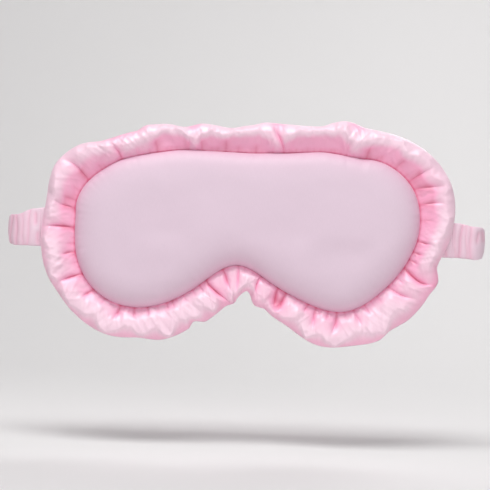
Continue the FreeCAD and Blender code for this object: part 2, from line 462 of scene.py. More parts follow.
def pillow(name, y_edge, y_face, swell, insets, step, dome=0.0, hem=0.0, shape=None, painted_edge_shade=0.0):
    """A crowned sheet on the panel's outline, from y_edge at its rim to y_face, with a hem turned in and, if
    asked, painted shade along its rim.
    """
    flat, faces, depth, count = filled_outline(insets, step)
    height = crown(depth, swell)
    half = np.array([panel_wide, panel_tall]) / 2
    middle = np.array([panel_middle.x, panel_middle.z])
    away = np.clip(1 - (((flat - middle) / half) ** 2).sum(axis=1), 0, 1)
    y = y_edge + (y_face - y_edge) * height + math.copysign(dome, y_face - y_edge) * away
    if shape is not None:
        y = y + shape(flat, depth)
    points = [(x, d, z) for (x, z), d in zip(flat, y)]
    # The fill's triangles run anticlockwise in (x, z), so they look along -Y.
    sign = 1 if y_face < y_edge else -1
    faces = [f if sign > 0 else f[::-1] for f in faces]
    if hem:
        start = len(points)
        fold_gap = 0.25 * MM
        for turn in (0.35, 1.0):
            for i in range(count):
                x, z = flat[i] - outward_at(flat[i]) * hem * turn
                points.append((x, y_edge + sign * fold_gap, z))
        for k in range(2):
            for i in range(count):
                j = (i + 1) % count
                a, b = (i, j) if k == 0 else (start + i, start + j)
                c, d = (start + j, start + i) if k == 0 else (start + count + j, start + count + i)
                faces.append([a, d, c, b] if sign > 0 else [a, b, c, d])
    # Painted shade and painted pink reflection from the ruffle, strongest at the sheet's rim and fading
    # inward.
    edge_shade = np.full(len(points), painted_edge_shade)
    edge_shade_reach = 4.5 * MM
    edge_shade[:len(depth)] = painted_edge_shade * np.exp(-depth / edge_shade_reach)
    return new_piece(name, points, faces, flat_uv(points, faces), attributes={"painted_shade": edge_shade})


def outward_at(point):
    """The way out of the panel at the place on its edge nearest to a point."""
    return outward[((seam - point) ** 2).sum(axis=1).argmin()]


def run_beside(points):
    """The distance along the panel's edge of the place nearest to each point."""
    nearest = np.array([((edge - p) ** 2).sum(axis=1).argmin() for p in points])
    return nearest * edge_length / stations


# How far in from the edge each ring of the front panel's points lies.
rings = np.array([0, 0.15, 0.4, 0.8, 1.3, 2.0, 2.8, 3.8, 5.0, 6.5, 8.2, 10.2]) * MM


def panel_puckers(flat, depth):
    """Faint puckers where the ruffle pulls on the panel's edge, and a slight unevenness of the fill."""
    rng = np.random.default_rng(5)
    at = run_beside(flat)
    pull = wander(rng, at, 9 * MM, edge_length) + 0.7 * wander(rng, at, 4.3 * MM, edge_length)
    near = np.exp(-depth / (5 * MM)) * smooth_step(depth, 0, 1.5 * MM)
    fill = wander(rng, flat[:, 0], 70 * MM) * wander(rng, flat[:, 1], 55 * MM)
    return 0.16 * MM * pull * near + 0.22 * MM * fill * smooth_step(depth, 6 * MM, 25 * MM)


panel_face = panel_low.y + 0.2 * MM
# The front panel's rim gets painted shade and painted reflection of the pink ruffle.
front = pillow("front_panel_satin", seam_y - 0.3 * MM, panel_face, 19 * MM, rings, 1.9 * MM,
               dome=0.9 * MM, hem=3 * MM, shape=panel_puckers, painted_edge_shade=0.42)
dress(front, panel_satin)
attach(front, "mask")
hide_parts("front_panel")


# ---------------------------------------------------------------- the gathered ruffle

# Tucks, clockwise from the top: (millimetres along the panel's edge, reach as a share of the
# ruffle's width, depth, lean towards the free edge in mm, lap over the neighbour in mm).
tucks = [
    (4.0, 0.35, 0.55, 0.5, 0.6), (20.0, 0.95, 0.70, -7.6, 1.2), (27.0, 0.22, 0.35, 0.4, 0.0),
    (47.0, 0.20, 0.30, 0.3, 0.0), (56.0, 0.45, 0.45, 1.0, 0.6), (68.0, 0.50, 0.75, 2.4, -1.2),
    (76.0, 0.30, 0.40, 1.0, 0.0), (86.0, 0.60, 0.55, 3.0, 0.6), (97.0, 0.85, 0.75, 1.8, -0.8),
    (102.5, 0.90, 0.80, 5.5, 0.8), (112.0, 0.80, 0.75, 3.6, -0.8), (121.0, 0.40, 0.45, 1.2, 0.0),
    (133.0, 0.50, 0.80, 0.6, 0.8), (140.0, 0.40, 0.80, -0.7, 0.6), (145.0, 0.35, 0.70, -2.2, 0.0),
    (150.5, 1.10, 1.00, -1.8, 2.6), (158.0, 0.30, 0.40, -1.0, 0.0), (165.0, 0.80, 0.70, -7.9, 0.8),
    (173.5, 0.25, 0.45, -0.8, 0.0), (182.0, 0.30, 0.60, 0.4, 0.5), (189.0, 0.50, 0.60, -3.6, 0.0),
    (194.5, 0.25, 0.50, 0.6, 0.0), (199.0, 0.65, 0.80, 4.0, -0.8), (204.0, 0.28, 0.65, 0.0, 0.0),
    (211.0, 0.68, 0.75, -3.2, 0.9), (216.0, 0.30, 0.75, 1.8, 0.5), (223.0, 0.25, 0.40, 0.0, 0.0),
    (230.5, 0.90, 0.90, -1.1, -1.2), (235.5, 0.90, 0.95, -5.4, 1.2), (246.5, 0.80, 0.75, -3.2, 2.6),
    (262.0, 0.85, 0.60, 1.0, -2.0), (271.0, 0.65, 0.85, 0.9, -0.8), (282.0, 1.05, 1.00, -6.8, 1.6),
    (287.0, 0.25, 0.65, 1.4, 0.0), (292.0, 0.22, 0.45, 0.8, 0.0), (298.0, 0.30, 0.45, 1.5, 0.0),
    (305.0, 0.26, 0.65, 1.8, 0.4), (308.5, 0.25, 0.60, 2.2, 0.0), (314.0, 0.22, 0.40, 0.6, 0.0),
    (319.5, 0.30, 0.65, 1.1, 0.0), (327.0, 0.36, 0.75, -1.8, 0.5), (335.5, 0.48, 0.85, 2.9, -0.8),
    (345.0, 0.25, 0.45, 0.8, 0.0), (353.5, 0.46, 0.90, 1.8, 0.9), (364.5, 0.88, 0.95, 1.8, 1.3),
    (372.0, 0.24, 0.45, 0.4, 0.0), (378.0, 0.46, 0.85, -0.4, 0.9), (383.0, 0.26, 0.55, 0.2, 0.0),
    (392.0, 1.00, 1.00, 0.4, 1.0), (403.5, 0.75, 0.85, 2.2, -1.0), (408.0, 0.55, 0.60, 0.7, 0.0),
    (414.0, 0.30, 0.45, 0.6, 0.0), (422.0, 0.95, 0.95, -0.7, 1.6), (432.0, 0.30, 0.40, -0.5, 0.0),
    (445.0, 0.82, 0.75, -2.9, 0.9), (455.0, 0.30, 0.35, -0.6, 0.0), (466.0, 0.60, 0.60, -0.8, -0.6),
    (477.0, 0.20, 0.30, 0.0, 0.0), (483.5, 0.55, 0.45, 1.2, 0.6), (491.5, 0.60, 0.50, -1.2, -0.6),
    (505.0, 0.55, 0.60, -0.6, 0.6), (512.0, 0.30, 0.45, 0.5, 0.0),
]
# Where the puff's crest runs, as a share of the width, and how high it stands in mm.
crest_share = [
    (5, 0.80), (12, 0.70), (17, 0.50), (23, 0.66), (30, 0.82), (38, 0.84), (50, 0.80), (59, 0.50), (66, 0.60),
    (72, 0.80), (79, 0.84), (87, 0.66), (94, 0.80), (100, 0.66), (107, 0.82), (115, 0.70), (124, 0.80),
    (131, 0.62), (137, 0.74), (144, 0.64), (150, 0.80), (157, 0.56), (165, 0.66), (172, 0.54), (179, 0.90),
    (184, 0.72), (190, 0.60), (195, 0.76), (200, 0.93), (206, 0.66), (212, 0.88), (219, 0.58), (225, 0.76),
    (231, 0.84), (238, 0.60), (245, 0.55), (255, 0.62), (266, 0.74), (274, 0.86), (281, 0.60), (287, 0.82),
    (292, 0.58), (298, 0.84), (305, 0.60), (312, 0.92), (317, 0.62), (323, 0.86), (329, 0.58), (338, 0.90),
    (345, 0.62), (350, 0.74), (358, 0.86), (365, 0.70), (371, 0.86), (379, 0.70), (386, 0.84), (393, 0.72),
    (399, 0.80), (406, 0.70), (414, 0.82), (421, 0.64), (428, 0.76), (436, 0.82), (443, 0.62), (450, 0.56),
    (457, 0.62), (464, 0.72), (473, 0.86), (480, 0.84), (484, 0.56), (488, 0.45), (492, 0.62), (497, 0.80),
    (503, 0.72), (510, 0.84),
]
crest_height = [
    (5, 5.2), (17, 6.4), (38, 5.0), (59, 6.6), (77, 5.0), (92, 6.0), (110, 5.8), (125, 6.2), (137, 6.8),
    (150, 7.2), (165, 6.4), (188, 6.0), (203, 6.8), (224, 6.2), (236, 6.4), (246, 7.0), (256, 6.6),
    (266, 6.4), (280, 6.6), (297, 6.2), (313, 6.6), (330, 6.2), (350, 6.6), (370, 6.8), (390, 6.6),
    (410, 6.2), (430, 6.4), (450, 6.2), (473, 4.8), (487, 6.4), (500, 5.2), (510, 5.0),
]
# How early the front rises from the seam: under 1 it stands up at once, over 1 it stays low first.
rise_power = [
    (5, 1.7), (17, 0.75), (27, 1.5), (38, 1.8), (50, 1.5), (59, 0.75), (68, 1.2), (80, 1.5), (100, 1.3),
    (120, 1.3), (135, 0.9), (150, 0.75), (170, 0.7), (200, 0.7), (230, 0.72), (250, 0.6), (270, 0.7),
    (300, 0.7), (340, 0.75), (370, 0.85), (392, 1.0), (410, 1.2), (430, 1.2), (448, 0.8), (460, 0.95),
    (473, 1.8), (480, 1.5), (487, 0.7), (494, 1.4), (505, 1.7), (512, 1.7),
]
# The crests and dips of the free edge, in mm beyond the CAD ruffle's edge.
edge_offset = [
    (0, -1.0), (11, 1.0), (20, 0.0), (41, -2.5), (54, 0.5), (65, -1.5), (82, -0.5), (130, -1.0), (141, -2.5),
    (148, 1.5), (155, 0.0), (166, 0.0), (177, -1.0), (184, 1.0), (194, -0.5), (206, 0.5), (225, -1.5),
    (235, -1.5), (242, 1.5), (251, -2.5), (260, 2.0), (272, 2.0), (283, 0.0), (294, 0.0), (299.5, -3.0),
    (303, -0.5), (314, 1.0), (326, -1.5), (337, -0.5), (362, -1.5), (372, -0.5), (388, -0.5), (402, -1.5),
    (420, 2.0), (429, 1.5), (441, -2.5), (456, -3.0), (463, -1.0), (472, -1.0), (482, -2.5), (492, -0.5),
    (507, -3.0),
]
allowance = 7 * MM          # the ruffle's edge inside the seam
leaf_gap = 0.25 * MM        # from the seam to each leaf of the folded strip
columns = 1440
front_rows = 40
rear_rows = 20
gather_ratio = 1.5          # the cut strip's length over the panel edge's: a guess, usual for a light frill


def tuck_fields(at, share):
    """How deep each point lies in a tuck, from 0 to 1, and how far it is pulled along the edge."""
    depth = np.zeros(at.shape)
    shift = np.zeros(at.shape)
    for place, reach, strength, lean, lap in tucks + fine_tucks():
        centre = place * MM + lean * MM * share ** 1.3
        gap = (at - centre + edge_length / 2) % edge_length - edge_length / 2
        gap = gap / MM
        # A tuck starts at the seam, fades out at its reach, and is a sharp valley that widens outward.
        fade = strength * (1 - smooth_step(share, reach * 0.45, reach * 1.08 + 0.02))
        wide = 1.1 + 2.6 * share + 0.5 * strength
        cusp = np.exp(-np.sqrt(gap ** 2 + 0.12 ** 2) / wide)
        depth = depth + fade * cusp * (1 - 0.3 * depth)
        # The cloth beside a tuck is drawn into it, and one side may lap over the other.
        pinch = -np.sign(gap) * np.minimum(np.abs(gap), 1.2) * np.exp(-np.abs(gap) / (1.6 * wide)) * 0.55
        lapped = lap * np.exp(-(gap / 4.5) ** 2)
        shift += fade * (pinch + lapped) * MM
    return np.clip(depth, 0, 1.15), shift


def fine_tucks():
    """Small gathers right at the seam, between the larger tucks."""
    rng = np.random.default_rng(17)
    made = []
    clearance = 2.0
    at = 1.5
    while at < edge_length / MM - 1:
        if min(abs(at - tuck[0]) for tuck in tucks) > clearance:
            made.append((at, rng.uniform(0.10, 0.24), rng.uniform(0.15, 0.42), rng.uniform(-0.8, 0.8), 0.0))
        at += rng.uniform(2.2, 4.6)
    return made


def crumple(at, share):
    """Slanting ridges across the puffs, from 0 on smooth cloth to about 2 where ridges meet."""
    rng = np.random.default_rng(53)
    total = np.zeros(len(at))
    # Slant and wavelength in mm, and size.
    for slant, wavelength, size in ((8, 13, 1.0), (-10, 17, 1.0), (4, 9, 0.35)):
        wave = wander(rng, at + slant * MM * share, wavelength * MM, edge_length)
        total += size * (1 - np.sqrt(np.minimum(np.abs(wave), 1) ** 2 + 0.01))
    return total


def ruffle_profile(at):
    """Crest place, crest height, rise, edge lift, width and rear bulge at distances along the edge."""
    rng = np.random.default_rng(29)
    turn = edge_length
    c = along(crest_share, at) + 0.03 * wander(rng, at, 13 * MM, turn)
    top = along(crest_height, at) * MM * (1 + 0.05 * wander(rng, at, 17 * MM, turn))
    rim_rise = (0.8 + 0.5 * wander(rng, at, 21 * MM, turn)) * MM
    width = around(ruffle_width, at) + through(edge_offset, at) * MM
    spot = around(edge, at)
    # Where the strap passes behind, the ruffle's back stays flat.
    near_strap = np.exp(-((spot[:, 1] - end_low.z / 2 - end_high.z / 2) / (15 * MM)) ** 4)
    near_strap *= np.abs(spot[:, 0]) > 60 * MM
    belly = (2.6 + 0.6 * wander(rng, at, 25 * MM, turn)) * MM * (1 - 0.9 * near_strap)
    return c, top, along(rise_power, at), rim_rise, width, belly


def hidden_row(at, r, y):
    """A row of the ruffle's edge inside the seam."""
    return at_depth(around(seam, at) + around(outward, at) * r, np.full(len(at), y))


def fanned_out(moved, share, width, depth):
    """Where a row lies in (x, z): out from the seam, and drawn in a little where a tuck is deep."""
    foot = around(seam, moved) * (1 - share) + around(edge, moved) * share
    return foot + around(spread, moved) * (width * share * (1 - 0.05 * depth * share))[:, None]


def front_row(at, share):
    """A row of the ruffle's front at a share of its width: its points and the painted shade of each, from 0
    to 1.
    """
    c, top, power, rim_rise, width, belly = ruffle_profile(at)
    depth, shift = tuck_fields(at, np.full(len(at), share))
    rising = np.sin(math.pi / 2 * np.clip(share / c, 0, 1) ** power)
    past = np.clip((share - c) / (1 - c), 0, 1)
    rim = rim_rise / top
    falling = rim + (1 - rim) * (0.5 * (1 - past) + 0.5 * np.sqrt(np.clip(1 - past ** 2.0, 0, 1)))
    shape = np.where(share < c, rising, falling)
    height = top * shape * (1 - 0.80 * depth)
    ridges = smooth_step(share, 0.05, 0.4) * (1 - smooth_step(share, 0.8, 1.0)) * (1 - np.clip(depth, 0, 1))
    ridges = ridges * (1 - 0.6 * smooth_step(power, 1.0, 1.5))
    height = height + 0.34 * MM * (crumple(at, share) - 0.8) * ridges
    spot = fanned_out(at + shift * shape, share, width, depth)
    # Painted shade: darker pink in the tucks, in the shaded hollow under the crest where the front stays low,
    # by the seam, and on the rim past the crest where the front stands up at once, as on the lower ruffle.
    shaded_hollow = np.where(share < c, smooth_step(1 - rising, 0.04, 0.38), 0) * smooth_step(power, 0.5, 1.4)
    lower_shade = 1 - smooth_step(power, 0.7, 1.3)
    painted_shade = (0.5 + 0.4 * lower_shade) * depth + 0.48 * shaded_hollow + 0.35 * (1 - smooth_step(share, 0.0, 0.08))
    painted_shade = np.clip(painted_shade + 0.4 * lower_shade * smooth_step(past, 0.1, 0.9), 0, 1)
    return at_depth(spot, seam_y - leaf_gap - height), painted_shade


def back_row(at, share):
    """A row of the ruffle's back at a share of its width."""
    c, top, power, rim_rise, width, belly = ruffle_profile(at)
    depth, shift = tuck_fields(at, np.full(len(at), share))
    round_back = np.sin(math.pi * share ** 0.8)
    bulge = belly * round_back ** 0.75 * (1 - 0.85 * depth)
    bulge = bulge + 0.35 * MM * (crumple(at + 31 * MM, share) - 0.8) * round_back * (1 - np.clip(depth, 0, 1))
    spot = fanned_out(at + 0.5 * shift * share, share, width, depth)
    y = seam_y + leaf_gap - rim_rise * share ** 1.5 + bulge
    # The second value is painted shade, darker in the tucks.
    return at_depth(spot, y), np.clip(depth * 0.6, 0, 1)


# ---------------------------------------------------------------- the ruffle's cloth simulation

sim_scale = 10.0            # cloth collides well at this size
sim_frames = 22
sim_columns = 620
sim_front_rows = 20
sim_rear_rows = 15
sim_hidden = np.array([-allowance, -3.0 * MM, -0.5 * MM])
settle_cap = 2.5 * MM       # the most that any point settles
settle_share = 0.85         # the part of the settling that the ruffle takes up


def cloth_columns():
    """Where the simulated strip's even columns start on the seam, and the strip's length: tucks swallow
    the most cloth."""
    cloth_between = 1.14        # cloth for each length of seam between the tucks
    tuck_cloth = 4.5            # the cloth in a full tuck, in mm
    tuck_width = 1.5 * MM
    fine = np.linspace(0, edge_length, 6001)
    density = np.full(len(fine), cloth_between)
    for place, _, strength, _, _ in tucks:
        gap = (fine - place * MM + edge_length / 2) % edge_length - edge_length / 2
        bell = np.exp(-0.5 * (gap / tuck_width) ** 2)
        density += strength * tuck_cloth * MM * bell / (tuck_width * math.sqrt(2 * math.pi))
    cloth = np.concatenate([[0], np.cumsum((density[1:] + density[:-1]) / 2 * np.diff(fine))])
    return np.interp(np.arange(sim_columns) * cloth[-1] / sim_columns, cloth, fine), cloth[-1]


def cloth_start():
    """The strip before it is let go: its rows of points, and each visible row's places and share."""
    at_seam, cloth_length = cloth_columns()
    even = np.arange(sim_columns) * edge_length / sim_columns
    fan = (even - at_seam + edge_length / 2) % edge_length - edge_length / 2
    rows = []
    places = []
    front_shares = np.linspace(0, 1, sim_front_rows)
    rear_shares = np.linspace(1, 0, sim_rear_rows)[1:]
    for maker, shares in ((front_row, front_shares), (back_row, rear_shares)):
        for share in shares:
            at = at_seam + fan * share ** 0.8
            rows.append(maker(at, share)[0])
            places.append((at, share))
    inner = [hidden_row(at_seam, r, seam_y - leaf_gap) for r in sim_hidden]
    inner_back = [hidden_row(at_seam, r, seam_y + leaf_gap) for r in sim_hidden[::-1]]
    return np.stack(inner + rows + inner_back, axis=1), places, cloth_length


def settled(points, cloth_length):
    """The strip after a short cloth simulation: sewn in along the seam, puffed by a little pressure and
    held loosely near its start, against the front panel."""
    nu, nv = points.shape[:2]
    hidden = len(sim_hidden)
    spare = 0.05        # the cloth is cut this much longer than its start, so that it puffs
    girth = np.linalg.norm(np.diff(points, axis=1), axis=2)
    girth = smoothed(np.concatenate([np.zeros((nu, 1)), np.cumsum(girth, axis=1)], axis=1), 12)
    girth[:, hidden:] += (girth[:, hidden:] - girth[:, hidden:hidden + 1]) * spare
    faces = []
    for i in range(nu):
        this, following = i * nv, (i + 1) % nu * nv
        faces += [(this + j, following + j, following + j + 1, this + j + 1) for j in range(nv - 1)]
    strip = new_piece("settling_strip", (points.reshape(-1, 3) * sim_scale).tolist(), faces)
    strip.shape_key_add(name="Basis")
    key = strip.shape_key_add(name="rest")
    radius = cloth_length / (2 * math.pi)
    angle = (np.arange(nu) * 2 * math.pi / nu)[:, None] + 0 * girth
    rest = np.stack([radius * np.sin(angle), girth, radius * np.cos(angle)], axis=2)
    key.data.foreach_set("co", (rest * sim_scale).ravel())
    key.value = 0
    group = strip.vertex_groups.new(name="pin")
    loosest = 0.15
    for j in range(nv):
        share = (j - hidden) / (sim_front_rows - 1)
        if j <= hidden or j >= nv - hidden - 1:
            weight = 1.0
        elif share <= 1:
            weight = round(loosest * (0.5 + 0.5 * abs(2 * share - 1)), 3)
        else:
            weight = loosest
        group.add(list(range(j, nu * nv, nv)), weight, "REPLACE")
    cloth = strip.modifiers.new("Cloth", "CLOTH")
    weave = cloth.settings
    weave.quality = 8
    weave.mass = 0.15
    weave.air_damping = 1.0
    weave.tension_stiffness = 25
    weave.compression_stiffness = 25
    weave.shear_stiffness = 4
    weave.bending_stiffness = 0.6
    weave.tension_damping = 8
    weave.compression_damping = 8
    weave.shear_damping = 5
    weave.bending_damping = 0.6
    weave.vertex_group_mass = "pin"
    weave.pin_stiffness = 1.0
    weave.rest_shape_key = key
    weave.use_pressure = True
    weave.uniform_pressure_force = 0.6
    weave.effector_weights.gravity = 0
    cloth.collision_settings.use_collision = True
    cloth.collision_settings.distance_min = 0.003
    cloth.collision_settings.collision_quality = 3
    cloth.collision_settings.use_self_collision = False
    cloth.point_cache.frame_start = 1
    cloth.point_cache.frame_end = sim_frames
    block = bpy.data.objects.new("settling_block", front.data.copy())
    block.data.transform(Matrix.Scale(sim_scale, 4))
    bpy.context.scene.collection.objects.link(block)
    block.modifiers.new("Collision", "COLLISION")
    block.collision.thickness_outer = 0.004
    block.collision.cloth_friction = 8
    for step in range(1, sim_frames + 1):
        bpy.context.scene.frame_set(step)
    result = strip.evaluated_get(bpy.context.evaluated_depsgraph_get())
    mesh = result.to_mesh()
    out = np.zeros(len(mesh.vertices) * 3)
    mesh.vertices.foreach_get("co", out)
    result.to_mesh_clear()
    bpy.context.scene.frame_set(1)
    for used in (strip, block):
        data = used.data
        bpy.data.objects.remove(used)
        bpy.data.meshes.remove(data)
    return out.reshape(nu, nv, 3) / sim_scale


def drape(at, front_shares, rear_shares):
    """How far the ruffle's visible rows settle: one row of movements for each share of its width."""
    start, places, cloth_length = cloth_start()
    move = settled(start, cloth_length) - start
    size = np.linalg.norm(move, axis=2, keepdims=True)
    move *= np.minimum(1, settle_cap / np.maximum(size, 1e-9))
    visible = move[:, len(sim_hidden):-len(sim_hidden)]

    def taken(rows, share):
        """The movement at a share, between the two nearest of the simulated rows."""
        low, part = between(np.array([places[k][1] for k in rows]), share)
        both = []
        for k in rows[low:low + 2]:
            axes = [np.interp(at, places[k][0], visible[:, k, axis], period=edge_length) for axis in range(3)]
            both.append(np.stack(axes, axis=1))
        return both[0] * (1 - part) + both[1] * part

    front = list(range(sim_front_rows))
    rear = list(range(sim_front_rows - 1, sim_front_rows + sim_rear_rows - 1))[::-1]
    moves = [taken(front, share) for share in front_shares] + [taken(rear, share) for share in rear_shares]
    return np.stack(moves, axis=1)


def ruffle_points():
    """The folded ruffle as rows of points, up the front from the seam, round the free edge and back, with
    each point's painted shade.
    """
    at = np.arange(columns) * edge_length / columns
    hidden = np.array([-allowance, -4.6 * MM, -2.6 * MM, -1.2 * MM, -0.4 * MM])
    u = np.linspace(0, 1, front_rows)
    u = 0.55 * u + 0.45 * (0.5 - 0.5 * np.cos(math.pi * u))     # rows lie closer at the seam and the edge
    rear_shares = np.linspace(1, 0, rear_rows)[1:]
    shown = [front_row(at, share) for share in u] + [back_row(at, share) for share in rear_shares]
    points = np.stack([r[0] for r in shown], axis=1)
    move = drape(at, u, rear_shares)
    # Most of the broad movement is taken out again, so that the outline and the roll stay as shaped.
    drift = smoothed(move, 6 * MM / edge_length * columns)
    points = points + settle_share * (move - drift * np.array([0.9, 0.4, 0.9]))
    front_hidden = [hidden_row(at, r, seam_y - leaf_gap) for r in hidden]
    rear_hidden = [hidden_row(at, r, seam_y + leaf_gap) for r in hidden[::-1]]
    points = np.concatenate([np.stack(front_hidden, axis=1), points, np.stack(rear_hidden, axis=1)], axis=1)
    # Painted shade: the rows inside the seam take the full deep colour.
    seam_shade = [np.ones(columns)] * len(hidden)
    return points, np.stack(seam_shade + [r[1] for r in shown] + seam_shade, axis=1)


def ruffle():
    """The gathered ruffle, as one sheet folded double."""
    points, painted_shades = ruffle_points()
    girth = np.concatenate([[0], np.cumsum(np.linalg.norm(np.diff(points, axis=1), axis=2).mean(axis=0))])
    run = np.arange(columns + 1) * edge_length / columns * gather_ratio
    uv = np.stack(np.meshgrid(run / MM, girth / MM, indexing="ij"), axis=2)
    piece = grid_piece("ruffle_satin", points, uv, wrap_u=True, attributes={"painted_shade": painted_shades.ravel()})
    dress(piece, ruffle_satin)
    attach(piece, "mask")
    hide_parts("ruffle")


ruffle()


# ---------------------------------------------------------------- the layers behind the panel

def lining_shape(flat, depth):
    """The lining lies nearly flat, with shallow hollows where the layers settle."""
    rng = np.random.default_rng(8)
    at = run_beside(flat)
    pull = 0.5 + 0.5 * wander(rng, at, 11 * MM, edge_length)
    fill = 0.5 + 0.5 * wander(rng, flat[:, 0], 45 * MM) * wander(rng, flat[:, 1], 38 * MM)
    puckers = -0.35 * MM * pull * np.exp(-depth / (6 * MM)) * smooth_step(depth, 0, 2 * MM)
    return puckers - 0.30 * MM * fill * smooth_step(depth, 4 * MM, 20 * MM)


lining_rings = np.array([0, 0.12, 0.35, 0.7, 1.2, 1.8, 2.6, 3.6, 5.0, 6.8, 8.8]) * MM
lining = pillow("back_lining_satin", seam_y + 0.3 * MM, lining_high.y - 0.02 * MM, 5.5 * MM, lining_rings,
                2.2 * MM, hem=3 * MM, shape=lining_shape)
dress(lining, lining_satin)
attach(lining, "mask")
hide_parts("back_lining")

blackout_y = (blackout_low.y + blackout_high.y) / 2
blackout = pillow("blackout_cloth", blackout_y + 0.02 * MM, blackout_y, 4 * MM,
                  np.array([9.0, 10.0, 11.5]) * MM, 3 * MM)
dress(blackout, blackout_cloth)
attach(blackout, "mask")
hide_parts("blackout_layer")


def wadding():
    """The pad between the layers: a crowned front over a core that clears the seam allowance."""
    step_y = seam_y - 1.1 * MM
    face_y = panel_face + 0.9 * MM
    back_y = padding_high.y - 0.2 * MM
    insets = np.array([2.0, 2.2, 2.6, 3.2, 4.0, 5.0, 6.4, 8.2, 10.2]) * MM
    flat, faces, depth, _ = filled_outline(insets, 2.6 * MM)
    rng = np.random.default_rng(3)
    lumps = wander(rng, flat[:, 0], 24 * MM) * wander(rng, flat[:, 1], 19 * MM)
    height = crown(depth - insets[0], 17 * MM)
    y = step_y + (face_y - step_y) * height + 0.12 * MM * lumps
    points = [(x, d, z) for (x, z), d in zip(flat, y)]
    core_insets = np.array([8.6, 8.8, 9.3, 10.2, 12.0]) * MM
    core, core_faces, core_depth, core_count = filled_outline(core_insets, 3.0 * MM)
    core_y = step_y + (back_y - step_y) * (0.25 + 0.75 * crown(core_depth - core_insets[0], 3 * MM))
    start = len(points)
    points += [(x, d, z) for (x, z), d in zip(core, core_y)]
    faces += [[start + i for i in f[::-1]] for f in core_faces]
    foot = len(points)
    points += [(x, step_y, z) for x, z in core[:core_count]]
    for i in range(core_count):
        j = (i + 1) % core_count
        faces.append([start + i, start + j, foot + j, foot + i])
        faces.append([foot + i, foot + j, j, i])
    pad = new_piece("padding_wadding", points, faces, flat_uv(points, faces))
    dress(pad, wadding_cloth)
    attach(pad, "mask")
    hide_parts("padding")


wadding()


# ---------------------------------------------------------------- threads

def tube(path, radius, closed, sides):
    """Points and corner UVs of a thin thread that follows a path of 3-D points."""
    path = np.asarray(path, float)
    ahead = np.roll(path, -1, axis=0) - np.roll(path, 1, axis=0)
    if not closed:
        ahead[0] = path[1] - path[0]
        ahead[-1] = path[-1] - path[-2]
    ahead = unit(ahead)
    side = np.cross(ahead, np.array([0.0, 1.0, 0.0]))
    weak = np.linalg.norm(side, axis=1) < 0.2
    side[weak] = np.cross(ahead[weak], np.array([1.0, 0.0, 0.0]))
    side = unit(side)
    over = np.cross(side, ahead)
    lines = []
    for k in range(sides):
        turn = 2 * math.pi * k / sides
        lines.append(path + radius * (math.cos(turn) * side + math.sin(turn) * over))
    points = np.stack(lines, axis=1)
    run = np.concatenate([[0], np.cumsum(np.linalg.norm(np.diff(path, axis=0), axis=1))])
    if closed:
        run = np.append(run, run[-1] + np.linalg.norm(path[0] - path[-1]))
    across = np.arange(sides + 1) * 2 * math.pi * radius / sides
    return points, np.stack(np.meshgrid(run / MM, across / MM, indexing="ij"), axis=2)


def tapered(points):
    """An open thread with its two ends drawn in, so that it closes to a point."""
    ends = points.copy()
    for i, keep in ((0, 0.05), (1, 0.65), (-2, 0.65), (-1, 0.05)):
        middle = points[i].mean(axis=0)
        ends[i] = middle + (points[i] - middle) * keep
    return ends


def thread_piece(name, node_name, strands, radius, closed=False, sides=6):
    """One object of several threads, which stands for a CAD thread."""
    points_all = []
    faces_all = []
    uv_all = []
    for strand in strands:
        points, uv = tube(strand, radius, closed, sides)
        if not closed:
            points = tapered(points)
        nu, nv = points.shape[:2]
        start = len(points_all)
        points_all += points.reshape(-1, 3).tolist()
        for i in range(nu if closed else nu - 1):
            for j in range(nv):
                corners = [(i, j), (i + 1, j), (i + 1, j + 1), (i, j + 1)]
                faces_all.append([start + (a % nu) * nv + (b % nv) for a, b in corners])
                uv_all += [tuple(uv[a, b]) for a, b in corners]
        if not closed:
            for end, order in ((0, 1), (nu - 1, -1)):
                cap = [start + end * nv + j for j in range(nv)][::order]
                faces_all.append(cap)
                uv_all += [(0.1 * j, 0.1) for j in range(nv)]
    piece = new_piece(name, points_all, faces_all, uv_all)
    dress(piece, thread_twist)
    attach(piece, "mask")
    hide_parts(node_name)


def running_stitch(inset, length, rise, y):
    """A row of stitches round the mask that dips in and out of the cloth."""
    points_a_stitch = 8
    count = round(edge_length / (length / points_a_stitch))
    at = np.arange(count) * edge_length / count
    stitches = round(edge_length / length)
    wave = np.sin(at / edge_length * stitches * 2 * math.pi)
    spot = around(seam, at) - around(outward, at) * inset
    return at_depth(spot, y + rise * np.sign(wave) * np.abs(wave) ** 0.5)


allowance_front = seam_y - 0.35 * MM
stitch_rows = (
    ("perimeter_seam_stitches", "perimeter_seam_thread", 1.2, 2.6, 0.20, allowance_front - 0.15 * MM),
    ("gathering_stitches_outer", "gathering_thread_outer", 3.7, 4.4, 0.30, allowance_front),
    ("gathering_stitches_inner", "gathering_thread_inner", 6.2, 4.7, 0.30, allowance_front),
)
for name, node_name, inset, length, rise, y in stitch_rows:
    stitches = running_stitch(inset * MM, length * MM, rise * MM, y)
    thread_piece(name, node_name, [stitches], 0.2 * MM, closed=True)


def islands(node_name):
    """The separate lumps of a CAD node, each as an array of its points. Points in one place are joined."""
    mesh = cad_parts[node_name].data
    owner = list(range(len(mesh.vertices)))

    def find(i):
        """The point that stands for point i's lump."""
        while owner[i] != i:
            owner[i] = owner[owner[i]]
            i = owner[i]
        return i

    seen = {}
    for v in mesh.vertices:
        key = tuple(round(c / MM, 2) for c in v.co)
        if key in seen:
            owner[find(v.index)] = find(seen[key])
        seen[key] = v.index
    for e in mesh.edges:
        owner[find(e.vertices[0])] = find(e.vertices[1])
    groups = {}
    for v in mesh.vertices:
        groups.setdefault(find(v.index), []).append(list(v.co))
    return [np.array(g) for g in groups.values()]


